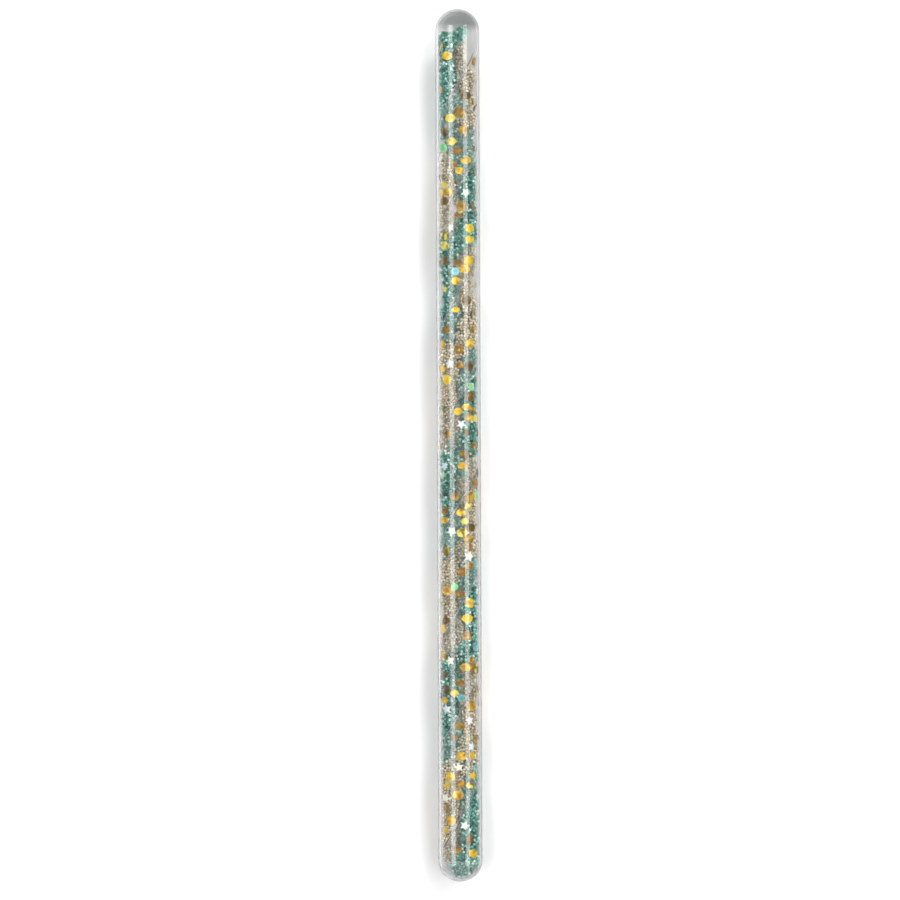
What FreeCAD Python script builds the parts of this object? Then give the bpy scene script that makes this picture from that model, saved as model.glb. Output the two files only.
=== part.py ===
import FreeCAD, Part
import math
import os

# Rainstick wand: a sealed clear tube with a domed cap cemented on each end. A
# flat strip twisted about the tube's axis divides the bore into two spiral
# chambers. One chamber holds teal beads and the other holds silver beads, and
# thin foil flakes lie against the bore's wall in both.
# Frame: +Z runs up the tube's axis, and the origin is the lowest point of the
# lower dome. +Y is down when the stick lies on its side. Millimetres.

doc = FreeCAD.newDocument("rainstick")
Vector = FreeCAD.Vector
Z_AXIS = Vector(0, 0, 1)

# ---------------------------------------------------------------- dimensions
DIMENSIONS = [
    ("overall_length", 378.0),      # tip to tip of the two domes
    ("tube_radius", 9.525),         # 3/4 inch outside diameter
    ("wall_thickness", 1.0),
    ("bore_radius", "=tube_radius - wall_thickness"),
    ("cement_film", 0.2),           # solvent cement between tube and cap
    ("lower_joint", "=tube_radius"),    # height of each cap's flat rim
    ("upper_joint", "=overall_length - tube_radius"),
    ("strip_width", 16.6),
    ("strip_thickness", 0.8),
    ("strip_bottom", 8.0),
    ("strip_top", "=overall_length - strip_bottom"),
    ("strip_pitch", 90.55),         # one full right-handed turn
    ("teal_faces_front_at", 95.96), # height where the teal chamber faces -Y
    ("fill_radius", 8.0),
    ("fill_strip_gap", 0.5),
    ("fill_level", 2.2),            # bead level, above the axis towards -Y
    ("fill_end_gap", 0.2),
    ("fill_travel", 4.0),           # free length left above the beads
    ("flake_thickness", 0.1),
    ("flake_wall_distance", 8.1),   # axis to the middle of a flake
    ("hexagon_radius", 2.0),
    ("dot_radius", 1.7),
    ("green_dot_radius", 1.65),
    ("star_radius", 2.2),
    ("star_waist", 0.46),           # inner over outer radius of a star
]
sheet = doc.addObject("Spreadsheet::Sheet", "Dimensions")
for row, (alias, value) in enumerate(DIMENSIONS, start=1):
    sheet.set("A%d" % row, alias)
    sheet.set("B%d" % row, str(value))
    sheet.setAlias("B%d" % row, alias)
doc.recompute()

# Helper sizes that leave no mark on the finished pieces
CUT_OVERRUN = 1.0       # a bore tool sticks out this far at each end
GUIDE_RADIUS = 5.0      # helix that only steers the twist of a strip
BAND_OVERRUN = 6.0      # the cutting band passes each tip of the stick by this
BAND_WIDTH_RATIO = 2.4  # band width over fill radius, wide enough to cut right across
BOX_HALF_WIDTH = 20.0   # the levelling box reaches well past the tube


def dim(alias):
    return float(sheet.get(alias))


pieces = []


def primitive(kind, name, z, **sizes):
    """A Part primitive whose height on the axis and sizes are expressions."""
    obj = doc.addObject(kind, name)
    obj.setExpression("Placement.Base.z", z)
    for prop, expression in sizes.items():
        obj.setExpression(prop, expression)
    return obj


def add_cut(label, base, tool):
    piece = doc.addObject("Part::Cut", label)
    piece.Base = base
    piece.Tool = tool
    pieces.append(piece)


def add_shape(label, shape, placement=FreeCAD.Placement()):
    piece = doc.addObject("Part::Feature", label)
    piece.Shape = shape
    piece.Placement = placement
    pieces.append(piece)


# ----------------------------------------------- clear tube and cement rings
def add_ring(label, outer_name, bore_name, z, height):
    """A length of tube section standing at z."""
    outer = primitive("Part::Cylinder", outer_name, z,
                      Radius="Dimensions.tube_radius", Height=height)
    bore = primitive("Part::Cylinder", bore_name, "%s - %g" % (z, CUT_OVERRUN),
                     Radius="Dimensions.bore_radius",
                     Height="%s + %g" % (height, 2 * CUT_OVERRUN))
    add_cut(label, outer, bore)


add_ring("clear_tube", "TubeOuter", "TubeBore",
         "Dimensions.lower_joint + Dimensions.cement_film",
         "Dimensions.upper_joint - Dimensions.lower_joint - 2 * Dimensions.cement_film")
add_ring("lower_cement_ring", "LowerCementDisc", "LowerCementHole",
         "Dimensions.lower_joint", "Dimensions.cement_film")
add_ring("upper_cement_ring", "UpperCementDisc", "UpperCementHole",
         "Dimensions.upper_joint - Dimensions.cement_film", "Dimensions.cement_film")


# ------------------------------------------------------------------ end caps
def add_cap(end, centre, low_latitude, high_latitude):
    """A hollow half ball, butt-joined to the cement on the tube's square end."""
    ball = primitive("Part::Sphere", end + "Ball", centre, Radius="Dimensions.tube_radius")
    ball.Angle1 = low_latitude
    ball.Angle2 = high_latitude
    hollow = primitive("Part::Sphere", end + "Hollow", centre, Radius="Dimensions.bore_radius")
    add_cut(end.lower() + "_end_cap", ball, hollow)


add_cap("Lower", "Dimensions.lower_joint", -90, 0)
add_cap("Upper", "Dimensions.upper_joint", 0, 90)


# ----------------------------------------------------------- twisted divider
def twisted_strip(width, thickness, bottom, top):
    """A flat strip swept up from the origin, turning right-handed once a pitch."""
    length = top - bottom
    spine = Part.Wire(Part.makeLine(Vector(0, 0, 0), Vector(0, 0, length)))
    guide = Part.Wire(Part.makeHelix(dim("strip_pitch"), length, GUIDE_RADIUS).Edges)
    x, y = width / 2.0, thickness / 2.0
    corners = [Vector(-x, -y, 0), Vector(x, -y, 0), Vector(x, y, 0), Vector(-x, y, 0)]
    sweep = Part.BRepOffsetAPI.MakePipeShell(spine)
    sweep.setAuxiliarySpine(guide, True, 0)
    sweep.add(Part.makePolygon(corners + corners[:1]))
    sweep.build()
    sweep.makeSolid()
    return sweep.shape()


def strip_placement(bottom):
    """Raises a strip to its foot and turns it so the teal chamber faces -Y where it should."""
    turn = 360.0 * (bottom - dim("teal_faces_front_at")) / dim("strip_pitch")
    return FreeCAD.Placement(Vector(0, 0, bottom), FreeCAD.Rotation(Z_AXIS, turn))


add_shape("spiral_divider",
          twisted_strip(dim("strip_width"), dim("strip_thickness"),
                        dim("strip_bottom"), dim("strip_top")),
          strip_placement(dim("strip_bottom")))


# ---------------------------------------------------------------- bead fills
def fill_capsule():
    """The round-ended space inside the bore that the beads can reach."""
    radius = dim("fill_radius")
    low = dim("lower_joint") + dim("fill_end_gap")
    high = dim("upper_joint") - dim("fill_travel") - dim("fill_end_gap")
    capsule = Part.makeCylinder(radius, high - low, Vector(0, 0, low))
    capsule = capsule.fuse(Part.makeSphere(radius, Vector(0, 0, low)))
    return capsule.fuse(Part.makeSphere(radius, Vector(0, 0, high))).removeSplitter()


def add_bead_fills():
    """The loose beads of each chamber as one solid, settled with the stick lying down."""
    band_thickness = dim("strip_thickness") + 2 * dim("fill_strip_gap")
    band = twisted_strip(BAND_WIDTH_RATIO * dim("fill_radius"), band_thickness,
                         -BAND_OVERRUN, dim("overall_length") + BAND_OVERRUN)
    band.Placement = strip_placement(-BAND_OVERRUN)
    settled = Part.makeBox(2 * BOX_HALF_WIDTH, 2 * BOX_HALF_WIDTH, dim("overall_length"),
                           Vector(-BOX_HALF_WIDTH, -dim("fill_level"), 0))
    halves = [half.common(settled).Solids[0] for half in fill_capsule().cut(band).Solids]
    if len(halves) != 2:
        raise RuntimeError("expected two bead chambers, found %d" % len(halves))
    # This point lies in the teal beads, midway between the band and the bead level.
    teal_point = Vector(0, -(dim("fill_level") + band_thickness / 2.0) / 2.0,
                        dim("teal_faces_front_at"))
    halves.sort(key=lambda half: not half.isInside(teal_point, 1e-3, True))
    add_shape("teal_bead_fill", halves[0])
    add_shape("silver_bead_fill", halves[1])


add_bead_fills()

# -------------------------------------------------------------- foil flakes
# Each flake lies flat against the bore's wall, clear of the divider's edges.
# (height, direction from +X in degrees, spin in degrees)
FLAKES = {
    "silver_side_gold_dots": [
        (18.9, 114.4, 2), (42.1, -133.3, 58), (54.9, -45.9, 15), (83.0, 65.2, 2), (83.8, 4.6, 57),
        (136.9, -58.9, 4), (144.7, -49.6, 53), (156.2, -73.4, 35), (156.3, 39.3, 40), (159.9, -85.1, 27),
        (178.8, 108.0, 31), (194.2, 160.8, 13), (223.4, -86.9, 20), (247.2, -1.0, 45), (247.5, -97.0, 33),
        (248.8, 47.1, 10), (298.1, -149.8, 2), (301.5, -139.2, 56), (307.5, -85.7, 33), (310.1, -103.2, 5),
        (353.5, 103.4, 11),
    ],
    "silver_side_gold_hexagons": [
        (27.0, -117.7, 43), (32.3, -137.2, 25), (37.9, -97.4, 18), (42.1, -57.5, 15), (42.7, -88.4, 17),
        (45.8, -125.5, 12), (54.8, -85.3, 29), (61.1, 18.1, 0), (62.0, -31.0, 23), (67.7, -88.8, 15),
        (75.7, 60.8, 50), (76.5, -53.4, 41), (100.7, 42.5, 25), (106.1, 162.3, 10), (109.6, -149.3, 28),
        (113.2, -134.8, 50), (124.1, 135.4, 17), (124.8, -88.8, 12), (126.2, -130.5, 19), (134.1, -78.3, 52),
        (143.4, -133.0, 30), (148.3, -58.6, 16), (151.3, -80.3, 53), (153.4, -53.8, 23), (166.6, -55.5, 18),
        (169.3, 88.0, 26), (171.4, 10.5, 51), (172.6, -31.6, 18), (176.9, 1.2, 7), (184.9, 42.0, 17),
        (217.3, -133.4, 30), (222.0, -147.2, 45), (223.1, -58.2, 50), (230.3, -88.5, 23), (232.4, -145.5, 45),
        (232.9, -54.0, 45), (238.9, -128.1, 24), (251.5, -60.5, 24), (269.2, 12.4, 1), (279.2, 165.1, 53),
        (293.2, 120.0, 20), (294.5, -134.0, 4), (298.2, -120.3, 27), (312.1, -64.0, 34), (316.0, -93.0, 44),
        (320.2, -112.7, 25), (324.3, -143.5, 58), (325.1, -70.4, 28), (330.3, -114.1, 44), (332.9, -83.9, 4),
        (335.1, -4.0, 7), (338.0, 38.7, 33), (339.9, -63.8, 46), (346.9, 35.9, 49), (355.6, 23.1, 42),
    ],
    "silver_side_gold_stars": [
        (22.5, -137.3, 19), (27.1, 161.5, 36), (46.3, -49.3, 38), (63.0, -105.5, 29), (127.3, 173.0, 38),
        (162.4, -61.2, 39), (188.7, 160.6, 27), (238.9, -42.7, 46), (262.2, 67.5, 16), (301.3, 122.0, 28),
        (304.7, 174.5, 54),
    ],
    "silver_side_green_dots": [
        (91.5, 52.0, 15), (96.4, 71.5, 25), (105.5, 95.1, 2), (111.0, 147.3, 52), (127.9, -105.1, 30),
        (167.3, -27.4, 26), (191.1, 83.6, 8), (204.4, -175.9, 38), (241.9, 19.9, 55), (269.5, 105.3, 37),
        (274.6, 132.0, 56), (281.3, 70.1, 13), (288.2, 83.9, 29), (317.5, -138.8, 43), (326.5, -120.5, 1),
    ],
    "silver_side_white_stars": [
        (36.6, -137.1, 4), (50.0, -94.2, 31), (58.8, -52.5, 38), (70.2, -59.3, 39), (77.3, 6.8, 43),
        (100.3, 148.1, 41), (119.5, 177.7, 1), (140.9, -60.0, 41), (151.8, -112.7, 22), (224.2, -116.5, 28),
        (258.5, 13.4, 15), (265.4, 108.3, 34), (267.1, 52.3, 36), (297.4, 147.7, 56), (313.7, -147.6, 31),
    ],
    "teal_side_gold_dots": [
        (14.5, -97.8, 46), (65.7, 150.1, 48), (78.8, -140.7, 49), (82.1, -108.8, 3), (96.1, -47.9, 27),
        (203.6, -91.6, 51), (204.0, -40.0, 43), (205.0, 52.8, 46), (260.0, -97.6, 41), (267.9, -90.8, 48),
        (288.5, -86.5, 13), (314.5, -4.0, 26), (316.1, 73.2, 40), (342.5, -147.2, 33), (361.5, -147.2, 40),
    ],
    "teal_side_gold_hexagons": [
        (12.5, -47.4, 46), (18.8, -61.2, 12), (27.9, 54.9, 51), (46.6, 140.1, 24), (48.1, 111.4, 27),
        (52.5, 30.8, 8), (77.5, 130.1, 58), (80.2, 171.3, 3), (83.4, -136.1, 46), (86.4, -90.7, 42),
        (89.9, -144.4, 19), (92.5, -37.4, 44), (93.1, -68.1, 22), (98.0, -148.2, 55), (106.8, -66.2, 46),
        (114.2, -66.1, 50), (120.9, -57.4, 25), (130.5, 55.4, 8), (132.4, 107.2, 57), (138.3, 108.7, 10),
        (141.6, 24.8, 54), (147.3, 56.4, 16), (156.7, -142.0, 57), (158.1, 149.9, 19), (160.8, -142.8, 21),
        (166.9, -178.7, 59), (166.9, -101.6, 60), (174.0, 162.4, 16), (180.1, -77.5, 41), (184.8, -71.2, 40),
        (188.7, -39.7, 33), (194.4, 7.9, 27), (194.5, -62.7, 35), (200.5, -28.1, 23), (200.9, -59.0, 2),
        (205.5, -66.6, 27), (210.0, -54.6, 47), (210.0, 22.6, 40), (212.3, 79.1, 49), (217.1, 26.5, 51),
        (227.3, 30.6, 47), (230.5, 92.7, 10), (256.7, -147.2, 39), (265.1, -71.1, 49), (268.7, -56.9, 28),
        (268.8, -136.2, 33), (275.3, -140.1, 45), (277.9, -53.1, 42), (279.4, -133.3, 27), (282.7, -53.0, 53),
        (292.2, -32.8, 12), (292.3, -77.0, 38), (299.5, 24.3, 11), (307.8, 4.6, 5), (330.3, 108.4, 19),
        (340.2, 103.9, 55), (357.2, -123.5, 13),
    ],
    "teal_side_gold_stars": [
        (29.1, 1.8, 8), (36.8, 39.9, 5), (74.6, 158.5, 31), (194.1, -124.5, 37), (222.1, 116.2, 37),
        (233.2, 160.0, 21), (268.1, 169.8, 9), (317.6, 32.5, 18),
    ],
    "teal_side_green_dots": [
        (52.7, 109.7, 20), (58.4, 140.7, 11), (79.9, -84.9, 4), (87.2, 168.9, 36), (101.6, -32.8, 12),
        (176.1, -146.8, 11), (176.4, -71.1, 35), (214.2, -49.7, 23), (234.4, 30.3, 16), (235.7, 132.0, 48),
        (264.0, -98.3, 37), (291.0, -104.6, 36), (356.9, 173.4, 41),
    ],
    "teal_side_white_stars": [
        (24.8, -77.4, 8), (64.5, 80.5, 24), (75.0, -132.0, 27), (95.9, -120.1, 33), (118.2, 47.9, 9),
        (180.0, -138.1, 25), (198.0, -82.6, 52), (252.1, 153.7, 18), (257.5, 156.4, 46), (282.9, -113.7, 12),
        (298.0, -67.0, 33), (300.1, 66.1, 41), (328.2, 147.4, 42),
    ],
}


def polygon(radii):
    """A closed polygon with its corners at equal angles, from +X, and the given radii."""
    corners = []
    for i, radius in enumerate(radii):
        angle = math.radians(360.0 * i / len(radii))
        corners.append(Vector(radius * math.cos(angle), radius * math.sin(angle), 0))
    return Part.makePolygon(corners + corners[:1])


def flake_outline(label):
    if label.endswith("stars"):
        radius = dim("star_radius")
        return polygon([radius, radius * dim("star_waist")] * 5)
    if label.endswith("hexagons"):
        return polygon([dim("hexagon_radius")] * 6)
    radius = dim("green_dot_radius" if label.endswith("green_dots") else "dot_radius")
    return Part.Wire(Part.makeCircle(radius))


def flake(label, z, direction, spin):
    origin = Vector(0, 0, 0)
    thickness = dim("flake_thickness")
    solid = Part.Face(flake_outline(label)).extrude(Vector(0, 0, thickness))
    solid.translate(Vector(0, 0, dim("flake_wall_distance") - thickness / 2.0))
    solid.rotate(origin, Z_AXIS, spin)
    solid.rotate(origin, Vector(0, 1, 0), 90)         # its face now looks along +X
    solid.rotate(origin, Z_AXIS, direction)
    solid.translate(Vector(0, 0, z))
    return solid


for label, places in FLAKES.items():
    add_shape(label, Part.makeCompound([flake(label, *place) for place in places]))

# -------------------------------------------------------------------- output
doc.recompute()
for obj in doc.Objects:
    if "Invalid" in obj.State or "Error" in obj.State:
        raise RuntimeError("%s is %s" % (obj.Label, obj.State))
for piece in pieces:
    if piece.Shape.isNull() or not piece.Shape.isValid() or not piece.Shape.Solids:
        raise RuntimeError("bad shape: " + piece.Label)
os.makedirs("parts", exist_ok=True)
for piece in pieces:
    piece.Shape.exportStep("parts/%s.step" % piece.Label)
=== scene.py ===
"""A clear tube with domed ends, split lengthwise by a twisted strip into a teal and a silver
chamber, each filled with pearl beads and foil flakes.

Lengths are in mm and become metres through MM. The stick's axis is Z, from z = 0 to LENGTH.
It lies on its back: +Y is down, towards the white sheet, and the camera looks along +Y.
"""
import math
from collections import namedtuple

import bmesh
import bpy
import numpy as np
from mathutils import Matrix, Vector


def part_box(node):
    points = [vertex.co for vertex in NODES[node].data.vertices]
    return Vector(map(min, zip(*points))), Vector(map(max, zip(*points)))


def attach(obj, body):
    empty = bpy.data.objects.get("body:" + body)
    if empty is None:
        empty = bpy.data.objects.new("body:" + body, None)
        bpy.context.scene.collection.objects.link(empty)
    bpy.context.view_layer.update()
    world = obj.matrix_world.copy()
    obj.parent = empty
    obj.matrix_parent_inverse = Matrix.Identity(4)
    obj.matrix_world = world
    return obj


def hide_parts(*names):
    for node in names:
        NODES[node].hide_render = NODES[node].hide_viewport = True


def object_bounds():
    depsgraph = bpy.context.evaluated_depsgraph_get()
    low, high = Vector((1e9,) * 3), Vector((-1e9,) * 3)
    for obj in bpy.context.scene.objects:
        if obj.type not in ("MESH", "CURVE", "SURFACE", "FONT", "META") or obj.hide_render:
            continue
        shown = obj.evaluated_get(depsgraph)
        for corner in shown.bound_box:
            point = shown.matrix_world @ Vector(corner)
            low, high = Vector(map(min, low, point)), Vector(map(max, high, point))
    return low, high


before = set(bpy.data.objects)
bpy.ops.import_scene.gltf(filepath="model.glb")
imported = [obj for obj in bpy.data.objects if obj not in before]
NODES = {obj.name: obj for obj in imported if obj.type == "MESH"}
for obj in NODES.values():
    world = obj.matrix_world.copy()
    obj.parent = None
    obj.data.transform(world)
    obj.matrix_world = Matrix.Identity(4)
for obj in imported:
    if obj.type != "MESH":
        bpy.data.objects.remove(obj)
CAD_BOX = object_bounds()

# ------------------------------------------------------------------ main sizes, mm
MM = 0.001
LENGTH = (CAD_BOX[1][2] - CAD_BOX[0][2]) / MM
R_OUT = (CAD_BOX[1][0] - CAD_BOX[0][0]) / 2 / MM
R_IN = R_OUT - 1.0                              # the bore
LOW_JOINT, HIGH_JOINT = R_OUT, LENGTH - R_OUT   # where the domes start
CEMENT = 0.2                                    # cement line's height

STRIP_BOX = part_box("spiral_divider")
STRIP_LOW, STRIP_HIGH = STRIP_BOX[0][2] / MM, STRIP_BOX[1][2] / MM
STRIP_HALF_WIDTH = (STRIP_BOX[1][0] - STRIP_BOX[0][0]) / 2 / MM
STRIP_HALF_THICK = 0.4
PITCH = 90.55                                   # one full turn of the strip
FRONT_HEIGHT = 95.96                            # the teal chamber faces -Y here

BEAD = 0.63                                     # bead radius


def front_angle(z):
    """Direction about Z that the teal chamber faces at height z."""
    return -math.pi / 2 + 2 * math.pi * (z - FRONT_HEIGHT) / PITCH


# ------------------------------------------------------------------ mesh tools
def add_mesh(name, verts, faces, smooth=True, materials=(), face_material=None):
    """verts in mm, faces as an (n, k) array or a list of tuples."""
    mesh = bpy.data.meshes.new(name)
    points = np.asarray(verts, dtype=np.float64) * MM
    if isinstance(faces, np.ndarray):
        count, corners = faces.shape
        loops = count * corners
        mesh.vertices.add(len(points))
        mesh.vertices.foreach_set("co", points.ravel())
        mesh.loops.add(loops)
        mesh.loops.foreach_set("vertex_index", faces.ravel().astype(np.int32))
        mesh.polygons.add(count)
        mesh.polygons.foreach_set("loop_start", np.arange(0, loops, corners, dtype=np.int32))
        mesh.update(calc_edges=True)
    else:
        mesh.from_pydata([tuple(p) for p in points], [], [tuple(f) for f in faces])
    for material in materials:
        mesh.materials.append(material)
    if face_material is not None:
        mesh.polygons.foreach_set("material_index", np.asarray(face_material, dtype=np.int32))
    mesh.polygons.foreach_set("use_smooth", np.full(len(mesh.polygons), bool(smooth)))
    mesh.validate()
    mesh.update()
    obj = bpy.data.objects.new(name, mesh)
    bpy.context.scene.collection.objects.link(obj)
    return obj


def sharpen(obj, degrees=35):
    """Marks edges sharper than the angle, so smooth shading stops at them."""
    obj.data.update()
    obj.data.set_sharp_from_angle(angle=math.radians(degrees))


def loop_vertices(mesh):
    indices = np.empty(len(mesh.loops), np.int32)
    mesh.loops.foreach_get("vertex_index", indices)
    return indices


def add_tint_and_map(mesh, tints, uvs):
    """The shade attribute and the UV map, both given one value a vertex."""
    tint = mesh.attributes.new("tint", "FLOAT", "POINT")
    tint.data.foreach_set("value", np.array(tints, dtype=np.float32))
    layer = mesh.uv_layers.new(name="OFBake")
    uvs = np.array(uvs, dtype=np.float32)
    layer.data.foreach_set("uv", uvs[loop_vertices(mesh)].ravel())


def lathe(name, profile, material, segments):
    """Closed solid of revolution about Z. profile is a closed loop of (radius, z);
    a point on the axis becomes one vertex."""
    verts, rings = [], []
    for radius, z in profile:
        if radius < 1e-9:
            rings.append([len(verts)] * segments)
            verts.append((0, 0, z))
            continue
        rings.append(list(range(len(verts), len(verts) + segments)))
        for i in range(segments):
            angle = 2 * math.pi * i / segments
            verts.append((radius * math.cos(angle), radius * math.sin(angle), z))
    faces = []
    for this, following in zip(rings, rings[1:] + rings[:1]):
        if this[0] == this[1] and following[0] == following[1]:
            continue                            # both points lie on the axis
        for i in range(segments):
            k = (i + 1) % segments
            corners = (this[i], this[k], following[k], following[i])
            faces.append(tuple(dict.fromkeys(corners)))
    obj = add_mesh(name, verts, faces, True, [material])
    bm = bmesh.new()
    bm.from_mesh(obj.data)
    bmesh.ops.recalc_face_normals(bm, faces=bm.faces)
    bm.to_mesh(obj.data)
    bm.free()
    sharpen(obj)
    return obj


# ------------------------------------------------------------------ material tools
def new_material(name):
    material = bpy.data.materials.new(name)
    material.use_nodes = True
    tree = material.node_tree
    tree.nodes.clear()
    return material, tree, tree.nodes.new("ShaderNodeOutputMaterial")


def node(tree, kind, **inputs):
    """Adds a node. Underscores in the input names stand for spaces."""
    made = tree.nodes.new("ShaderNode" + kind)
    for key, value in inputs.items():
        made.inputs[key.replace("_", " ")].default_value = value
    return made


def math_node(tree, operation, second=None, third=None):
    made = node(tree, "Math")
    made.operation = operation
    if second is not None:
        made.inputs[1].default_value = second
    if third is not None:
        made.inputs[2].default_value = third
    return made


# sockets of the Mix node for each data type
MIX_FACTOR = 0
COLOUR_A, COLOUR_B, COLOUR_OUT = 6, 7, 2
FLOAT_A, FLOAT_B, FLOAT_OUT = 2, 3, 0


def colour_mix(tree, first):
    made = node(tree, "Mix")
    made.data_type = "RGBA"
    made.inputs[COLOUR_A].default_value = opaque(first)
    return made


def opaque(rgb):
    return (*rgb, 1)


def srgb(rgb):
    """8-bit screen colour to linear."""
    def linear(c):
        c /= 255.0
        return c / 12.92 if c <= 0.04045 else ((c + 0.055) / 1.055) ** 2.4
    return opaque([linear(c) for c in rgb])


def shade_ramp(tree, stops):
    """stops: (position, 8-bit colour)."""
    ramp = node(tree, "ValToRGB")
    elements = ramp.color_ramp.elements
    while len(elements) > 1:
        elements.remove(elements[-1])
    elements[0].position = stops[0][0]
    elements[0].color = srgb(stops[0][1])
    for position, rgb in stops[1:]:
        elements.new(position).color = srgb(rgb)
    return ramp


def tint_attribute(tree):
    made = node(tree, "Attribute")
    made.attribute_name = "tint"
    return made


# ------------------------------------------------------------------ material kinds
def paint_outline_shade(tree, plastic, tint, outline_shade, fade):
    """Painted shade at the outline: the colour darkens towards the given outline colour as the
    surface turns away from the view.
    """
    wire = tree.links.new
    facing = node(tree, "LayerWeight", Blend=0.5)
    falloff = math_node(tree, "POWER", second=2.6)
    colour = colour_mix(tree, tint)
    colour.inputs[COLOUR_B].default_value = opaque(outline_shade)
    wire(facing.outputs["Facing"], falloff.inputs[0])
    wire(falloff.outputs[0], colour.inputs[MIX_FACTOR])
    if fade:
        # nearly clear at the joint, taking its tint, which is painted grey shade, over the
        # next few millimetres
        coords = node(tree, "TexCoord")
        split = node(tree, "SeparateXYZ")
        height = node(tree, "MapRange", From_Min=fade[0] * MM, From_Max=fade[1] * MM)
        height.interpolation_type = "SMOOTHSTEP"
        faded = colour_mix(tree, (0.94, 0.945, 0.945))
        wire(coords.outputs["Object"], split.inputs[0])
        wire(split.outputs["Z"], height.inputs["Value"])
        wire(height.outputs[0], faded.inputs[MIX_FACTOR])
        wire(colour.outputs[COLOUR_OUT], faded.inputs[COLOUR_B])
        colour = faded
    wire(colour.outputs[COLOUR_OUT], plastic.inputs["Base Color"])


def surface_ripple(tree, plastic, strength, scale, z_ratio):
    wire = tree.links.new
    coords = node(tree, "TexCoord")
    mapping = node(tree, "Mapping", Scale=(scale, scale, scale * z_ratio))
    noise = node(tree, "TexNoise", Scale=1.0, Detail=2.0)
    bump = node(tree, "Bump", Strength=strength, Distance=0.0004)
    wire(coords.outputs["Object"], mapping.inputs[0])
    wire(mapping.outputs[0], noise.inputs["Vector"])
    wire(noise.outputs[0], bump.inputs["Height"])
    wire(bump.outputs[0], plastic.inputs["Normal"])


def acrylic(name, tint, roughness, shadow=None, ior=1.49, haze=0.0, outline_shade=None, fade=None,
            ripple=0.0, ripple_scale=0.0, ripple_z_ratio=1.0):
    """Clear plastic that lets straight shadow light through, with faint surface ripple.
    The outline colour is painted shade at the outline; fade is (clear height, tinted height)."""
    material, tree, out = new_material(name)
    wire = tree.links.new
    plastic = node(tree, "BsdfPrincipled", Base_Color=opaque(tint), Roughness=roughness,
                   IOR=ior, Transmission_Weight=1.0 - haze)
    clear = node(tree, "BsdfTransparent", Color=opaque(shadow or tint))
    path = node(tree, "LightPath")
    mix = node(tree, "MixShader")
    passes = math_node(tree, "MAXIMUM")
    wire(path.outputs["Is Shadow Ray"], passes.inputs[0])
    wire(path.outputs["Is Diffuse Ray"], passes.inputs[1])
    wire(passes.outputs[0], mix.inputs[0])
    wire(plastic.outputs[0], mix.inputs[1])
    wire(clear.outputs[0], mix.inputs[2])
    wire(mix.outputs[0], out.inputs[0])
    if outline_shade:
        paint_outline_shade(tree, plastic, tint, outline_shade, fade)
    if ripple:
        surface_ripple(tree, plastic, ripple, ripple_scale, ripple_z_ratio)
    return material


def bonded_face():
    """Welded faces show no joint: light passes straight on."""
    material, tree, out = new_material("bonded_face")
    clear = node(tree, "BsdfTransparent", Color=opaque((0.97, 0.97, 0.97)))
    tree.links.new(clear.outputs[0], out.inputs[0])
    return material


def bead_material(name, stops):
    """Pearl: each bead takes its own shade from the attribute 'tint'."""
    material, tree, out = new_material(name)
    wire = tree.links.new
    tint = tint_attribute(tree)
    ramp = shade_ramp(tree, stops)
    pearl = node(tree, "BsdfPrincipled", Roughness=0.22, Metallic=0.0, IOR=1.5,
                 Coat_Weight=0.35, Coat_Roughness=0.08)
    wire(tint.outputs["Fac"], ramp.inputs[0])
    wire(ramp.outputs[0], pearl.inputs["Base Color"])
    wire(pearl.outputs[0], out.inputs[0])
    return material


def foil_material(name, stops, roughness, metallic, coat=0.4, thin_film=0.0):
    """Metallised film: each flake takes its own shade from 'tint', with a light crinkle.
    thin_film is in nanometres."""
    material, tree, out = new_material(name)
    wire = tree.links.new
    tint = tint_attribute(tree)
    coords = node(tree, "TexCoord")
    # darker and lighter patches in each flake: partly the foil's own tone, partly painted
    # shade for film turned away from the lamps
    tone_and_painted_shade_patches = node(tree, "TexNoise", Scale=480.0, Detail=1.0)
    shade = math_node(tree, "MULTIPLY_ADD", second=0.55)
    ramp = shade_ramp(tree, stops)
    crinkle = node(tree, "TexNoise", Scale=900.0, Detail=3.0)
    bump = node(tree, "Bump", Strength=0.6, Distance=0.0002)
    foil = node(tree, "BsdfPrincipled", Roughness=roughness, Metallic=metallic, IOR=1.5,
                Coat_Weight=coat, Coat_Roughness=0.1)
    if thin_film:
        foil.inputs["Thin Film Thickness"].default_value = thin_film
        foil.inputs["Thin Film IOR"].default_value = 1.7
    wire(coords.outputs["Object"], tone_and_painted_shade_patches.inputs["Vector"])
    wire(tone_and_painted_shade_patches.outputs[0], shade.inputs[0])
    wire(tint.outputs["Fac"], shade.inputs[2])
    wire(shade.outputs[0], ramp.inputs[0])
    wire(ramp.outputs[0], foil.inputs["Base Color"])
    wire(coords.outputs["Object"], crinkle.inputs["Vector"])
    wire(crinkle.outputs[0], bump.inputs["Height"])
    wire(bump.outputs[0], foil.inputs["Normal"])
    wire(foil.outputs[0], out.inputs[0])
    return material


# ------------------------------------------------------------------ materials
# the outline colours given below are painted shade at the tube's and domes' outlines
TUBE_ACRYLIC = acrylic(
    "clear_acrylic", tint=(0.975, 0.975, 0.98), roughness=0.0, shadow=(0.945, 0.945, 0.95),
    outline_shade=(0.52, 0.52, 0.56), ripple=0.02, ripple_scale=200.0, ripple_z_ratio=0.06)
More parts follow.
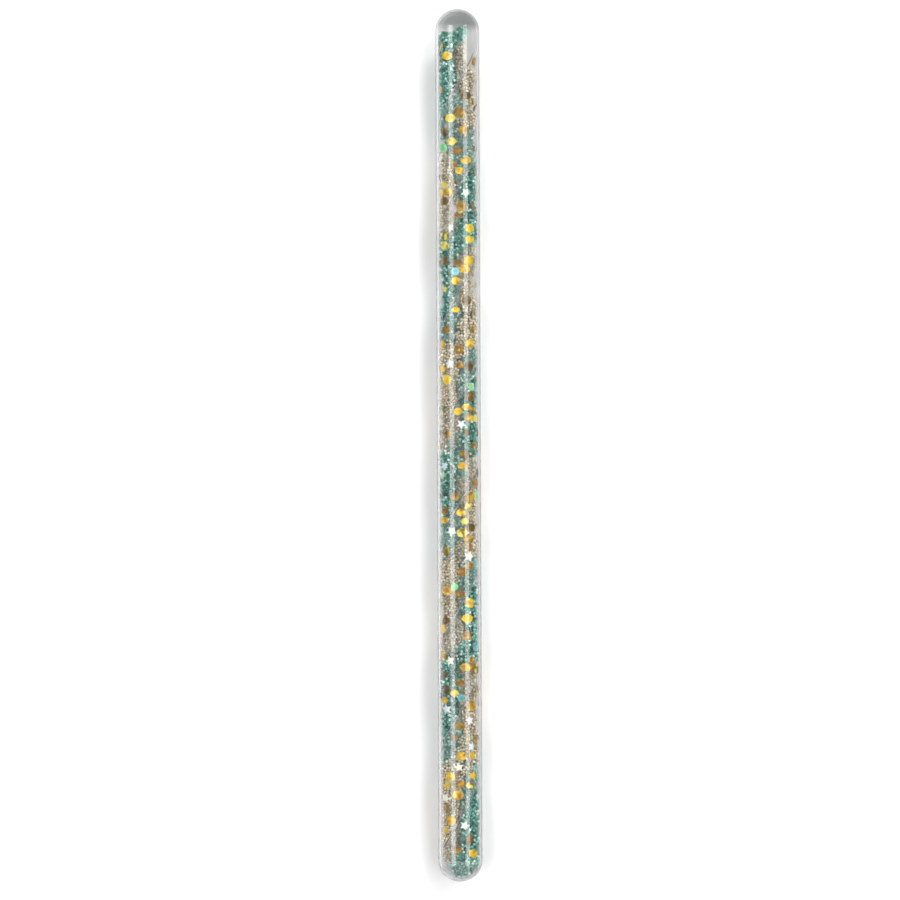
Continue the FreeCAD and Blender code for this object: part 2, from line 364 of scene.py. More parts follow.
# both domes are the tube's clear acrylic; their grey tints, different at each end, are painted
# shade
HIGH_DOME_ACRYLIC_PAINTED_SHADE = acrylic(
    "moulded_high_dome_painted_shade", tint=(0.61, 0.635, 0.625), roughness=0.02, shadow=(0.88, 0.885, 0.88),
    outline_shade=(0.30, 0.32, 0.32), fade=(HIGH_JOINT - 0.5, HIGH_JOINT + 3.4),
    ripple=0.10, ripple_scale=420.0)
LOW_DOME_ACRYLIC_PAINTED_SHADE = acrylic(
    "moulded_low_dome_painted_shade", tint=(0.86, 0.865, 0.865), roughness=0.02, haze=0.06,
    shadow=(0.93, 0.935, 0.93), outline_shade=(0.34, 0.35, 0.355), fade=(LOW_JOINT, LOW_JOINT - 4.0),
    ripple=0.06, ripple_scale=420.0)
CEMENT_FILM = acrylic(
    "cement_film", tint=(0.95, 0.955, 0.95), roughness=0.03, shadow=(0.95, 0.95, 0.95))
BONDED_FACE = bonded_face()
STRIP_ACRYLIC = acrylic(
    "strip_acrylic", tint=(0.90, 0.915, 0.90), roughness=0.0, haze=0.05, ior=1.22,
    shadow=(0.93, 0.935, 0.93), ripple=0.03, ripple_scale=500.0)
STRIP_EDGE = acrylic(
    "strip_sawn_edge", tint=(0.97, 0.975, 0.97), roughness=0.1, haze=0.10, ior=1.07,
    ripple=0.2, ripple_scale=2500.0)

BEAD_MATERIAL = {
    "teal": bead_material("teal_pearl", [
        (0.0, (24, 82, 70)), (0.25, (56, 132, 114)), (0.6, (94, 172, 154)),
        (0.85, (146, 210, 194)), (1.0, (216, 244, 236))]),
    "silver": bead_material("silver_pearl", [
        (0.0, (158, 146, 118)), (0.3, (188, 176, 146)), (0.6, (210, 199, 170)),
        (0.85, (226, 217, 192)), (1.0, (244, 239, 226))]),
}

# gold shades: the dark browns are partly painted shade for foil that faces away from the
# lamps, partly the foil's own tone
GOLD = [
    (0.10, (84, 62, 18)), (0.24, (120, 92, 20)), (0.36, (168, 130, 24)),
    (0.47, (222, 178, 20)), (0.57, (240, 202, 24)), (0.66, (246, 216, 54)),
    (0.74, (206, 156, 26)), (0.82, (156, 106, 28)), (0.90, (110, 82, 24)),
    (0.96, (150, 150, 36)), (1.0, (236, 216, 100))]
WHITE = [
    (0.1, (206, 226, 240)), (0.4, (242, 232, 238)), (0.7, (222, 240, 236)),
    (1.0, (248, 240, 222))]
GREEN = [
    (0.1, (92, 190, 110)), (0.35, (150, 214, 140)), (0.55, (232, 178, 190)),
    (0.75, (60, 120, 92)), (0.95, (140, 204, 220))]
# kind of flake: (material, slot)
FOILS = {
    "gold_hexagons": (foil_material(
        "gold_film", GOLD, roughness=0.32, metallic=0.62, coat=0.12), "gold_foil"),
    "gold_dots": (foil_material(
        "gold_dot_film", GOLD, roughness=0.32, metallic=0.62, coat=0.12), "gold_foil"),
    "gold_stars": (foil_material(
        "gold_star_film", GOLD, roughness=0.3, metallic=0.62, coat=0.12), "gold_foil"),
    "white_stars": (foil_material(
        "white_iridescent_film", WHITE, roughness=0.25, metallic=0.15, thin_film=420.0),
        "white_foil"),
    "green_dots": (foil_material(
        "green_iridescent_film", GREEN, roughness=0.28, metallic=0.3, thin_film=380.0),
        "green_foil"),
}

# ------------------------------------------------------------------ clear casing
DOME_STEPS = 28
WELD_TOLERANCE = 0.003
CEMENT_CLEARANCE = 0.002                        # keeps cement faces off their neighbours


def dome_profile(joint, direction):
    """Hollow half ball from the tube's square end to its tip."""
    profile = []
    for radius, order in ((R_OUT, range(DOME_STEPS + 1)), (R_IN, range(DOME_STEPS, -1, -1))):
        for i in order:
            angle = math.pi / 2 * i / DOME_STEPS
            profile.append((radius * math.cos(angle) if i < DOME_STEPS else 0.0,
                            joint + direction * radius * math.sin(angle)))
    return profile


def wall_profile(low, high):
    return [(R_OUT, low), (R_OUT, high), (R_IN, high), (R_IN, low)]


def casing_part(name, profile, welds, material, cad, segments=160):
    """A turned part. Its flat faces at the weld heights take the bonded material."""
    part = lathe(name, profile, material, segments)
    mesh = part.data
    mesh.materials.append(BONDED_FACE)
    for face in mesh.polygons:
        heights = [mesh.vertices[v].co.z / MM for v in face.vertices]
        if any(max(abs(z - weld) for z in heights) < WELD_TOLERANCE for weld in welds):
            face.material_index = 1
    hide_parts(cad)
    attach(part, "casing")


def cement_line(name, base, cad):
    low, high = base + CEMENT_CLEARANCE, base + CEMENT - CEMENT_CLEARANCE
    profile = [(R_OUT, low), (R_OUT, high), (R_IN, high), (R_IN, low)]
    casing_part(name, profile, (low, high), CEMENT_FILM, cad)


def build_casing():
    low, high = LOW_JOINT + CEMENT, HIGH_JOINT - CEMENT
    casing_part("clear_tube_shell", wall_profile(low, high), (low, high),
                TUBE_ACRYLIC, "clear_tube", segments=256)
    casing_part("lower_dome", dome_profile(LOW_JOINT, -1), (LOW_JOINT,),
                LOW_DOME_ACRYLIC_PAINTED_SHADE, "lower_end_cap")
    casing_part("upper_dome", dome_profile(HIGH_JOINT, 1), (HIGH_JOINT,),
                HIGH_DOME_ACRYLIC_PAINTED_SHADE, "upper_end_cap")
    cement_line("lower_cement_line", LOW_JOINT, "lower_cement_ring")
    cement_line("upper_cement_line", HIGH_JOINT - CEMENT, "upper_cement_ring")


# ------------------------------------------------------------------ twisted divider
EDGE_BREAK = 0.12                               # corner radius
CORNER_POINTS, CORNER_STEP = 4, 30              # points a corner, degrees between them
BROAD_POINTS = 12                               # across a broad face, to keep the twist smooth
TWIST_STEP = 0.9                                # height between sections, about
# x side, y side, start of the corner's arc in degrees
STRIP_CORNERS = ((-1, -1, 180), (1, -1, 270), (1, 1, 0), (-1, 1, 90))


def strip_section():
    """Outline across the strip: x runs along its width, y through its thickness."""
    flat = STRIP_HALF_WIDTH - EDGE_BREAK
    points = []
    for side_x, side_y, start in STRIP_CORNERS:
        centre_x = side_x * flat
        centre_y = side_y * (STRIP_HALF_THICK - EDGE_BREAK)
        for i in range(CORNER_POINTS):
            angle = math.radians(start + CORNER_STEP * i)
            points.append((centre_x + EDGE_BREAK * math.cos(angle),
                           centre_y + EDGE_BREAK * math.sin(angle)))
        if side_x == side_y:                    # a broad face follows this corner
            across = np.linspace(side_x * flat, -side_x * flat, BROAD_POINTS)[1:-1]
            points += [(x, side_y * STRIP_HALF_THICK) for x in across]
    return np.array(points)


def build_divider():
    section = strip_section()
    count = len(section)
    steps = int((STRIP_HIGH - STRIP_LOW) / TWIST_STEP)
    verts = np.zeros((steps + 1, count, 3))
    for i, z in enumerate(np.linspace(STRIP_LOW, STRIP_HIGH, steps + 1)):
        angle = front_angle(z) + math.pi / 2    # direction of the strip's width
        cos, sin = math.cos(angle), math.sin(angle)
        verts[i, :, 0] = section[:, 0] * cos - section[:, 1] * sin
        verts[i, :, 1] = section[:, 0] * sin + section[:, 1] * cos
        verts[i, :, 2] = z
    on_edge = np.abs(section[:, 0]) > STRIP_HALF_WIDTH - EDGE_BREAK - 1e-6
    faces, face_material = [], []
    for i in range(steps):
        low, high = i * count, (i + 1) * count
        for j in range(count):
            k = (j + 1) % count
            faces.append((low + j, low + k, high + k, high + j))
            face_material.append(1 if on_edge[j] and on_edge[k] else 0)
    faces.append(tuple(range(count - 1, -1, -1)))
    faces.append(tuple(range(steps * count, (steps + 1) * count)))
    face_material += [1, 1]
    divider = add_mesh("twisted_divider", verts.reshape(-1, 3), faces, True,
                       [STRIP_ACRYLIC, STRIP_EDGE], face_material)
    sharpen(divider, 40)
    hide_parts("spiral_divider")
    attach(divider, "divider")


build_casing()
build_divider()

# ------------------------------------------------------------------ flakes
# centre, radius, the CAD node it belongs to, and whether it lies under the first beads
Flake = namedtuple("Flake", "x y z radius node deep")
FILM = 0.06                                     # film thickness
FILM_CLEARANCE = 0.07                           # bore to film
FILM_SEED = 100
DEEP_SHARE = 0.42                               # share of gold hexagons and dots sunk deeper
DEEP_OFFSET = 3.6                               # only this far from the strip's middle


def connected_sets(obj):
    """Points, in mm, of each connected set of faces."""
    mesh = obj.data
    points = np.empty(len(mesh.vertices) * 3)
    mesh.vertices.foreach_get("co", points)
    matrix = np.array(obj.matrix_world)
    points = (points.reshape(-1, 3) @ matrix[:3, :3].T + matrix[:3, 3]) / MM
    # vertices that share a place are one
    _, first, ids = np.unique(np.round(points, 3), axis=0, return_index=True,
                              return_inverse=True)
    ids = ids.ravel()
    corners = loop_vertices(mesh)
    starts = np.empty(len(mesh.polygons), np.int32)
    mesh.polygons.foreach_get("loop_start", starts)
    ends = np.append(starts[1:], len(corners))
    faces = [ids[corners[start:end]] for start, end in zip(starts, ends)]
    labels = np.arange(len(first))
    changed = True
    while changed:
        changed = False
        for face in faces:
            lowest = labels[face].min()
            if (labels[face] != lowest).any():
                labels[face] = lowest
                changed = True
    points = points[first]
    return [points[labels == label] for label in np.unique(labels)]


def measure_flake(points, name):
    if "stars" in name:
        centre = points.mean(axis=0)
    else:
        centre = (points.min(axis=0) + points.max(axis=0)) / 2
    x, y, z = centre
    radius = np.linalg.norm(points - centre, axis=1).max() * 0.94
    angle = front_angle(z)
    offset = abs(x * math.cos(angle) + y * math.sin(angle))
    # a repeatable pseudo-random number from the flake's place
    chance = math.sin(z * 12.9898 + x * 78.233) * 43758.5453 % 1.0
    deep = (chance < DEEP_SHARE and offset > DEEP_OFFSET
            and "gold" in name and "stars" not in name)
    return Flake(x, y, z, radius, name, deep)


flakes = {"teal": [], "silver": []}
for node_name, cad_object in NODES.items():
    if "_side_" in node_name:
        flakes[node_name.split("_")[0]] += [
            measure_flake(points, node_name) for points in connected_sets(cad_object)]


def polar(radius, degrees):
    return radius * math.cos(math.radians(degrees)), radius * math.sin(math.radians(degrees))


def flake_outline(kind, radius):
    if kind.endswith("stars"):
        return [polar(radius * (1.0 if i % 2 == 0 else 0.47), 36 * i) for i in range(10)]
    if kind.endswith("hexagons"):
        points = []
        for i in range(6):
            x0, y0 = polar(radius, 60 * i)
            x1, y1 = polar(radius, 60 * i + 60)
            points += [(x0, y0), ((x0 + x1) / 2, (y0 + y1) / 2)]
        return points
    return [polar(radius, 20 * i) for i in range(18)]


def film_faces(base, count):
    """Two skins, each a fan inside a ring of quads, joined round the rim."""
    skin = 1 + 2 * count                        # vertices in one skin
    faces = []
    for i in range(count):
        k = (i + 1) % count
        for start, step in ((base, 1), (base + skin, -1)):
            inner, outer = start + 1, start + 1 + count
            faces.append((start, inner + i, inner + k)[::step])
            faces.append((inner + i, outer + i, outer + k, inner + k)[::step])
        rim = base + 1 + count
        faces.append((rim + i, rim + skin + i, rim + skin + k, rim + k))
    return faces


def build_flakes(cad_node, seed):
    """Thin films that hug the bore's wall, each bent to it, tilted a little and part sunk."""
    side = cad_node.split("_")[0]
    kind = cad_node.split("_side_")[1]
    material, slot = FOILS[kind]
    hexagon = kind.endswith("hexagons")
    rng = np.random.default_rng(seed)
    mine = [flake for flake in flakes[side] if flake.node == cad_node]
    grid = int(math.ceil(math.sqrt(len(mine))))     # one cell of the map for each flake
    verts, faces, tints, uvs = [], [], [], []
    for number, flake in enumerate(mine):
        spin = rng.normal(0, 0.42) if hexagon else rng.uniform(0, 2 * math.pi)
        squash = rng.uniform(0.66, 0.98) if kind in ("gold_hexagons", "gold_dots") else 1.0
        grow = rng.uniform(1.16, 1.42) if hexagon else rng.uniform(1.02, 1.2)
        sunk = rng.uniform(0.65, 1.2) if flake.deep else rng.uniform(0.0, 0.35)
        tilt_across, tilt_along = np.clip(rng.normal(0, 0.16, 2), -0.34, 0.34)
        bearing = math.atan2(flake.y, flake.x)
        outline = flake_outline(kind, flake.radius)
        local = [(0.0, 0.0)] + [(x * 0.5, y * 0.5) for x, y in outline] + outline
        faces += film_faces(len(verts), len(outline))
        for skin in (0, 1):
            for x, y in local:
                across = grow * (x * math.cos(spin) - y * math.sin(spin))
                along = grow * squash * (x * math.sin(spin) + y * math.cos(spin))
                wave = 0.05 * math.sin(2.1 * across + number)
                depth = max(0.0, sunk + tilt_across * across + tilt_along * along + wave)
                r = R_IN - FILM_CLEARANCE - (depth + skin * FILM)
                angle = bearing + across / r
                verts.append((r * math.cos(angle), r * math.sin(angle), flake.z + along))
                uvs.append(((number % grid + 0.5 + 0.44 * x / flake.radius) / grid,
                            (number // grid + 0.5 + 0.44 * y / flake.radius) / grid))
        # each flake's place on the ramp, shifted darker: partly its own tone, partly painted
        # shade
        tints += [rng.uniform(0.0, 0.90) ** 1.1 - 0.12] * (2 * len(local))
    films = add_mesh(side + "_" + kind.rstrip("s") + "_films", verts, faces, False, [material])
    add_tint_and_map(films.data, tints, uvs)
    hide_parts(cad_node)
    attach(films, side + "_fill")


for i, node_name in enumerate(sorted(name for name in NODES if "_side_" in name)):
    build_flakes(node_name, FILM_SEED + i)

# ------------------------------------------------------------------ shape of the bead piles
# Each chamber's beads settle to a level near the axis, and short heaps stay on the strip
# where it faces up. Stations run down the stick, in mm, from a point above its top.
STATION_ZERO = LENGTH + 3.9
# stretches that leave the usual level: (from, to, level in Y); smaller is higher
POOLS = {
    "teal": [(59.78712, 68.45192, 3.4), (122.17368, 132.57144, 2.6)],
    "silver": [(12.13072, 20.36228, 5.0), (39.85808, 58.92064, 3.6),
               (116.10832, 129.972, 3.0), (190.6256, 197.55744, 2.0)],
}
HEAPS = {
    "teal": [(6.93184, 23.39496, -4.4), (91.84688, 111.77592, -2.6),
             (187.15968, 207.08872, -2.6), (277.2736, 303.268, -2.6),
             (348.32496, 382.98416, -2.6)],
    "silver": [(19.92904, 25.9944, -2.35), (48.52288, 55.45472, -2.35),
               (138.6368, 164.6312, -2.5), (233.9496, 252.57892, -2.5),
               (319.73112, 350.05792, -2.5)],
}
POOL_BLEND, HEAP_BLEND = 2.59944, 1.73296       # half the length of each end's slope
# ripples of the usual level, in radians a mm; all digits count, as the piles settle from it
LONG_RIPPLE, SHORT_RIPPLE = 0.16388145138953005, 0.3531529867971563
LONG_RIPPLE_PHASE = {"teal": 0, "silver": 2.1}
# how far right (+X) a pile reaches near the top, where it has slumped to the left:
# stations, then limits in X
RIGHT_EDGE = {
    "teal": ((12.9972, 15.59664, 17.76284, 20.36228, 22.52848, 28.59384, 34.6592),
             (3.8, 3.2, 1.9, -1.6, -2.4, -1.8, 9.0)),
    "silver": ((19.06256, 26.86088, 32.05976), (3.0, 3.6, 9.0)),
}
# the teal pile's top: places in X, then heights
TEAL_TOP = ((-9.0, -1.8, 1.6, 3.8, 6.0), (367.6, 367.4, 370.3, 369.8, 366.0))

WALL = R_IN - BEAD - 0.02                       # farthest a bead's centre goes from the axis
GAP = STRIP_HALF_THICK + BEAD + 0.03            # nearest it comes to the strip's middle
SURFACE_INSET = BEAD * 0.6                      # bead centres below the free surface
TRAVEL = 4.1                                    # free travel at the top
STRIP_END = 7.3                                 # below this the teal pile fills the dome


def smooth(x):
    x = np.clip(x, 0, 1)
    return x * x * (3 - 2 * x)


def surface_level(z, side):
    """Y of the free surface for bead centres (smaller is higher) for an array of z."""
    station = STATION_ZERO - z
    level = (0.1 + 0.45 * np.sin(station * LONG_RIPPLE + LONG_RIPPLE_PHASE[side])
             + 0.3 * np.sin(station * SHORT_RIPPLE + 1.0))
    for stretches, blend in ((POOLS[side], POOL_BLEND), (HEAPS[side], HEAP_BLEND)):
        for start, end, target in stretches:
            weight = (smooth((station - start + blend) / (2 * blend))
                      * smooth((end - station + blend) / (2 * blend)))
            level = level * (1 - weight) + target * weight
    return level + SURFACE_INSET


def top_limit(x, side):
    return np.interp(x, *TEAL_TOP) if side == "teal" else 364.6 - 0.2 * x


def low_limit(x, side):
    return 2.2 + np.clip(-(x + 2.9) * 4.0, 0, 12.0) if side == "teal" else 8.2


def right_limit(z, side):
    return np.interp(STATION_ZERO - z, *RIGHT_EDGE[side])


def strip_offset(p, side):
    """Direction (x, y) from the strip into the chamber, and each point's distance along it."""
    angle = front_angle(p[:, 2])
    sign = 1.0 if side == "teal" else -1.0
    nx, ny = np.cos(angle) * sign, np.sin(angle) * sign
    return nx, ny, p[:, 0] * nx + p[:, 1] * ny


def bore_centre(z):
    """Nearest height on the straight bore's axis, held short by the free travel."""
    return np.clip(z, LOW_JOINT, HIGH_JOINT - TRAVEL)


def inside_pile(p, side):
    x, y, z = p.T
    _, _, offset = strip_offset(p, side)
    in_chamber = offset > GAP
    if side == "teal":
        in_chamber |= (z < STRIP_END) & (np.abs(offset) > GAP)
    reach = np.sqrt(x ** 2 + y ** 2 + (z - bore_centre(z)) ** 2)
    return (in_chamber & (reach < WALL) & (y > surface_level(z, side))
            & (z < top_limit(x, side)) & (z > low_limit(x, side))
            & (x < right_limit(z, side)))


# ------------------------------------------------------------------ settling the beads
# Each of these moves the points of p in place.
def hold_in_bore(p):
    centre = bore_centre(p[:, 2])
    v = np.stack([p[:, 0], p[:, 1], p[:, 2] - centre], axis=1)
    reach = np.linalg.norm(v, axis=1) + 1e-12
    v *= np.where(reach > WALL, WALL / reach, 1.0)[:, None]
    p[:, 0], p[:, 1], p[:, 2] = v[:, 0], v[:, 1], v[:, 2] + centre


def hold_in_limits(p, side):
    p[:, 2] = np.minimum(p[:, 2], top_limit(p[:, 0], side))
    p[:, 0] = np.minimum(p[:, 0], right_limit(p[:, 2], side))
    p[:, 2] = np.maximum(p[:, 2], low_limit(p[:, 0], side))


def hold_off_strip(p, side):
    nx, ny, offset = strip_offset(p, side)
    if side == "teal":
        # beads under the strip's end may lie on its other side
        under = (p[:, 2] < STRIP_END) & (offset < 0)
        nx, ny = np.where(under, -nx, nx), np.where(under, -ny, ny)
        offset = np.abs(np.where(under, offset, np.maximum(offset, 0)))
        p[:, 2] = np.where(under, np.minimum(p[:, 2], STRIP_END - 0.05), p[:, 2])
    push = np.maximum(GAP - offset, 0)
    p[:, 0] += nx * push
    p[:, 1] += ny * push


def hold_under_surface(p, side):
    level = surface_level(p[:, 2], side)
    p[:, 1] = np.where(p[:, 1] < level, p[:, 1] + (level - p[:, 1]) * 0.6, p[:, 1])


def hold_behind_flakes(p, side):
    deepest = R_IN - 0.45 - BEAD
    for flake in flakes[side]:
        if flake.deep:
            continue
        radius = flake.radius * 0.74
        near = np.where(np.abs(p[:, 2] - flake.z) < radius + 0.35)[0]
        q = p[near]
        from_axis = math.hypot(flake.x, flake.y)
        ux, uy = flake.x / from_axis, flake.y / from_axis
        outward = q[:, 0] * ux + q[:, 1] * uy
        across = -q[:, 0] * uy + q[:, 1] * ux
        covered = across ** 2 + (q[:, 2] - flake.z) ** 2 < (radius + 0.3) ** 2
        covered &= outward > 0
        push = np.where(covered & (outward > deepest), outward - deepest, 0)
        p[near, 0] -= ux * push
        p[near, 1] -= uy * push


def neighbours(p, reach):
    """Pairs closer than reach, by sorting points into cells."""
    cell = np.floor(p / reach).astype(np.int64)
    cell -= cell.min(axis=0) - 1
    dims = cell.max(axis=0) + 2
    keys = (cell[:, 0] * dims[1] + cell[:, 1]) * dims[2] + cell[:, 2]
    order = np.argsort(keys, kind="stable")
    sorted_keys = keys[order]
    ids = np.arange(len(p))
    firsts, seconds = [], []

    def collect(start, end):
        """Pairs each point with the sorted points from start to end."""
        counts = end - start
        total = counts.sum()
        if total == 0:
            return
        before = np.concatenate([[0], np.cumsum(counts)[:-1]])
        firsts.append(np.repeat(ids, counts))
        seconds.append(order[np.repeat(start - before, counts) + np.arange(total)])

    steps = (-1, 0, 1)
    half_shell = [(dx, dy, dz) for dx in steps for dy in steps for dz in steps
                  if (dx, dy, dz) > (0, 0, 0)]
    for dx, dy, dz in half_shell:
        other = keys + (dx * dims[1] + dy) * dims[2] + dz
        collect(np.searchsorted(sorted_keys, other, "left"),
                np.searchsorted(sorted_keys, other, "right"))
    place = np.empty(len(p), np.int64)
    place[order] = ids
    collect(place + 1, np.searchsorted(sorted_keys, keys, "right"))
    i, j = np.concatenate(firsts), np.concatenate(seconds)
    apart = p[i] - p[j]
    distance = np.sqrt((apart * apart).sum(axis=1))
    keep = distance < reach
    return i[keep], j[keep], apart[keep], distance[keep]


SAMPLES = 60000                                 # random points tried in the whole tube
END_INSET = 2                                   # they stay this far from both tips
BEADS_PER_MM3 = 0.68
ROUNDS = 60
LAST_ROUNDS = 8                                 # gentler pushes and no fall
MAX_SHIFT = 0.5                                 # a round
FALL = 0.02                                     # a round
BEAD_SEED = {"teal": 21, "silver": 22}


def pack_beads(side, rng):
    """Bead centres: random points in the pile's space, pushed apart until they settle."""
    p = np.stack([rng.uniform(-WALL, WALL, SAMPLES), rng.uniform(-WALL, WALL, SAMPLES),
                  rng.uniform(END_INSET, LENGTH - END_INSET, SAMPLES)], axis=1)
    inside = inside_pile(p, side)
    box_volume = (2 * WALL) * (2 * WALL) * (LENGTH - 2 * END_INSET)
    volume = box_volume * inside.mean()
    p = p[inside][:int(volume * BEADS_PER_MM3)]
    for turn in range(ROUNDS):
        early = turn < ROUNDS - LAST_ROUNDS
        i, j, apart, distance = neighbours(p, 2 * BEAD)
        overlap = (2 * BEAD - distance) / (distance + 1e-9) * 0.5
        move = apart * (overlap * (0.62 if early else 0.45))[:, None]
        shift = np.zeros_like(p)
        for axis in range(3):
            shift[:, axis] += (np.bincount(i, move[:, axis], len(p))
                               - np.bincount(j, move[:, axis], len(p)))
        p += np.clip(shift, -MAX_SHIFT, MAX_SHIFT)
        if early:
            p[:, 1] += FALL
        hold_in_bore(p)
        hold_in_limits(p, side)
        hold_off_strip(p, side)
        hold_under_surface(p, side)
        hold_behind_flakes(p, side)
    return p


# ------------------------------------------------------------------ bead meshes
BEADS_PER_PIECE = 2300
TINT_SPREAD = {"teal": 0.34, "silver": 0.22}


def bead_template():
    """Vertices and faces of a ball of radius 1."""
    bm = bmesh.new()
    bmesh.ops.create_icosphere(bm, subdivisions=2, radius=1.0)
    verts = np.array([v.co[:] for v in bm.verts])
    faces = np.array([[v.index for v in face.verts] for face in bm.faces])
    bm.free()
    return verts, faces


BALL_VERTS, BALL_FACES = bead_template()


def bead_piece(name, centres, sizes, tints, material):
    count, ball = len(centres), len(BALL_VERTS)
    verts = centres[:, None, :] + BALL_VERTS[None, :, :] * sizes[:, None, None]
    faces = BALL_FACES[None, :, :] + (np.arange(count) * ball)[:, None, None]
    beads = add_mesh(name, verts.reshape(-1, 3), faces.reshape(-1, 3), True, [material])
    # one small cell of the map for each bead
    grid = int(math.ceil(math.sqrt(count)))
    column = (np.arange(count) % grid + 0.5) / grid
    row = (np.arange(count) // grid + 0.5) / grid
    uvs = np.empty((count, ball, 2))
    uvs[:, :, 0] = column[:, None] + BALL_VERTS[None, :, 0] * 0.42 / grid
    uvs[:, :, 1] = row[:, None] + BALL_VERTS[None, :, 2] * 0.42 / grid
    add_tint_and_map(beads.data, np.repeat(tints, ball), uvs.reshape(-1, 2))
    return beads


def build_beads(side):
    rng = np.random.default_rng(BEAD_SEED[side])
    p = pack_beads(side, rng)
    p = p[np.argsort(-p[:, 2], kind="stable")]  # from the top down
    tints = np.clip(rng.normal(0.5, TINT_SPREAD[side], len(p)), 0, 1)
    sizes = BEAD * rng.uniform(0.93, 1.0, len(p))
    pieces = int(math.ceil(len(p) / BEADS_PER_PIECE))
    for number, chosen in enumerate(np.array_split(np.arange(len(p)), pieces), start=1):
        beads = bead_piece("%s_beads_%02d" % (side, number), p[chosen], sizes[chosen],
                           tints[chosen], BEAD_MATERIAL[side])
        if number == 1:
            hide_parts(side + "_bead_fill")
        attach(beads, side + "_fill")


for side in ("teal", "silver"):
    build_beads(side)

# ------------------------------------------------------------------ white sheet
SHEET_HALF = 2500.0
SHEET_Y = R_OUT + 0.4
SHEET_WHITE = 0.93


def sheet_material():
    """White from the -Y side, and clear from behind. Seen through or reflected in the clear
    parts it carries painted shade: greyer, most on the right, so that glare doesn't wash the
    rim out."""
    material, tree, out = new_material("white_surface")
    wire = tree.links.new
    white = node(tree, "BsdfPrincipled", Roughness=0.6)
    clear = node(tree, "BsdfTransparent")
    facing = node(tree, "NewGeometry")
    mix = node(tree, "MixShader")
    path = node(tree, "LightPath")
    geometry = node(tree, "NewGeometry")
    split = node(tree, "SeparateXYZ")
    # painted shade: the grey the sheet takes for rays that come through or off the clear
    # parts, darker on the right
    sheet_painted_shade = node(tree, "MapRange", From_Min=-0.012, From_Max=0.012, To_Min=0.76, To_Max=0.52)
    indirect = math_node(tree, "MAXIMUM")
    shade = node(tree, "Mix")
    shade.data_type = "FLOAT"
    shade.inputs[FLOAT_A].default_value = SHEET_WHITE
    colour = node(tree, "CombineColor")
    white.inputs["Base Color"].default_value = opaque([SHEET_WHITE] * 3)
    wire(geometry.outputs["Position"], split.inputs[0])
    wire(split.outputs["X"], sheet_painted_shade.inputs["Value"])
    wire(path.outputs["Is Transmission Ray"], indirect.inputs[0])
    wire(path.outputs["Is Glossy Ray"], indirect.inputs[1])
    wire(indirect.outputs[0], shade.inputs[MIX_FACTOR])
    wire(sheet_painted_shade.outputs[0], shade.inputs[FLOAT_B])
    for channel in range(3):
        wire(shade.outputs[FLOAT_OUT], colour.inputs[channel])
    wire(colour.outputs[0], white.inputs["Base Color"])
    wire(facing.outputs["Backfacing"], mix.inputs[0])
    wire(white.outputs[0], mix.inputs[1])
    wire(clear.outputs[0], mix.inputs[2])
    wire(mix.outputs[0], out.inputs[0])
    return material


sheet_corners = [(x * SHEET_HALF, SHEET_Y, z * SHEET_HALF)
                 for x, z in ((-1, -1), (1, -1), (1, 1), (-1, 1))]
add_mesh("white_surface", sheet_corners, [(0, 1, 2, 3)], False, [sheet_material()])


# ------------------------------------------------------------------ world
def build_world():
    """A pale room: bright to the camera, and to light that leaves the clear parts towards -Y,
    and dim to all else, as a light tent's dark gaps are."""
    dim, brighter = 0.29, 0.66                  # strength, and what the bright rays add
    world = bpy.data.worlds.new("studio")
    bpy.context.scene.world = world
    world.use_nodes = True
    tree = world.node_tree
    wire = tree.links.new
    background = tree.nodes["Background"]
    background.inputs[0].default_value = (1.0, 1.0, 1.0, 1)
    path = node(tree, "LightPath")
    coords = node(tree, "TexCoord")
    split = node(tree, "SeparateXYZ")
    towards_camera = math_node(tree, "LESS_THAN", second=-0.35)
    through_clear = math_node(tree, "MULTIPLY")
    bright = math_node(tree, "MAXIMUM")
    strength = math_node(tree, "MULTIPLY_ADD", second=brighter, third=dim)
    wire(coords.outputs["Generated"], split.inputs[0])
    wire(split.outputs["Y"], towards_camera.inputs[0])
    wire(towards_camera.outputs[0], through_clear.inputs[0])
    wire(path.outputs["Is Transmission Ray"], through_clear.inputs[1])
    wire(through_clear.outputs[0], bright.inputs[0])
    wire(path.outputs["Is Camera Ray"], bright.inputs[1])
    wire(bright.outputs[0], strength.inputs[0])
    wire(strength.outputs[0], background.inputs[1])


build_world()

# ------------------------------------------------------------------ lights, in metres
MIDDLE = LENGTH / 2 * MM


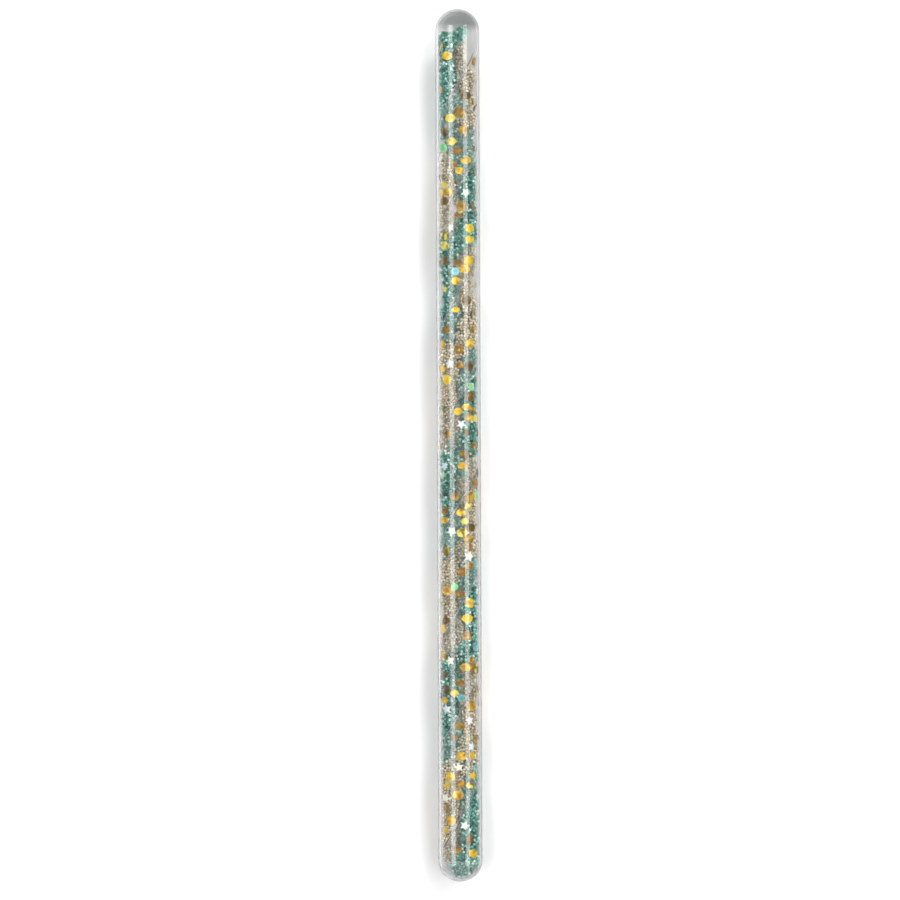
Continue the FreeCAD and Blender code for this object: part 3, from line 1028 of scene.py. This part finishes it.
def area_light(name, azimuth, distance, width, height, power, rise=0.0, hidden_from=()):
    """A lamp aimed at the stick's middle. azimuth is in degrees from -Y towards +X."""
    angle = math.radians(azimuth)
    data = bpy.data.lights.new(name, "AREA")
    data.shape = "RECTANGLE"
    data.size = width
    data.size_y = height
    data.energy = power
    data.color = (1, 1, 1)
    lamp = bpy.data.objects.new(name, data)
    bpy.context.scene.collection.objects.link(lamp)
    place = Vector((math.sin(angle) * distance, -math.cos(angle) * distance, MIDDLE + rise))
    lamp.location = place
    aim = Vector((0, 0, MIDDLE)) - place
    lamp.rotation_euler = aim.to_track_quat("-Z", "Y").to_euler()
    for ray in hidden_from:
        setattr(lamp, "visible_" + ray, False)


# lamps aren't seen through the clear tube
area_light("softbox_right", azimuth=40.5, distance=0.9, width=0.38, height=1.25, power=5.3,
           hidden_from=("transmission",))
area_light("softbox_left", azimuth=-36.0, distance=0.9, width=0.33, height=1.2, power=6.0,
           hidden_from=("transmission",))
area_light("key_high_right", azimuth=48, distance=1.92, rise=2.1, width=1.2, height=1.2,
           power=64.0, hidden_from=("glossy", "transmission"))
# the pale stripe that each softbox draws down the tube's outside
GLINT_HIDDEN = ("diffuse", "transmission", "camera")
area_light("glint_right", azimuth=40.5, distance=0.88, width=0.36, height=1.25, power=3.8,
           hidden_from=GLINT_HIDDEN)
area_light("glint_left", azimuth=-36.3, distance=0.88, width=0.48, height=1.25, power=5.0,
           hidden_from=GLINT_HIDDEN)
# from behind the sheet, which is clear on that side
area_light("back_fill", azimuth=196, distance=1.3, rise=0.3, width=1.0, height=1.2, power=70.0)

# ------------------------------------------------------------------ camera
CAMERA_DISTANCE = 2.2                           # metres
SENSOR = 36.0
VIEW_WIDTH = 389.916                            # mm across the picture at the stick's axis

camera_data = bpy.data.cameras.new("camera")
camera_data.sensor_width = SENSOR
camera_data.lens = SENSOR * CAMERA_DISTANCE / (VIEW_WIDTH * MM)
camera = bpy.data.objects.new("camera", camera_data)
bpy.context.scene.collection.objects.link(camera)
camera.location = (-3.83 * MM, -CAMERA_DISTANCE, MIDDLE - 2.06 * MM)
camera.rotation_euler = (math.radians(90), math.radians(0.226), 0)

scene = bpy.context.scene
scene.camera = camera
scene.view_settings.view_transform = "Standard"
scene.view_settings.look = "None"
scene.view_settings.exposure = 0.0
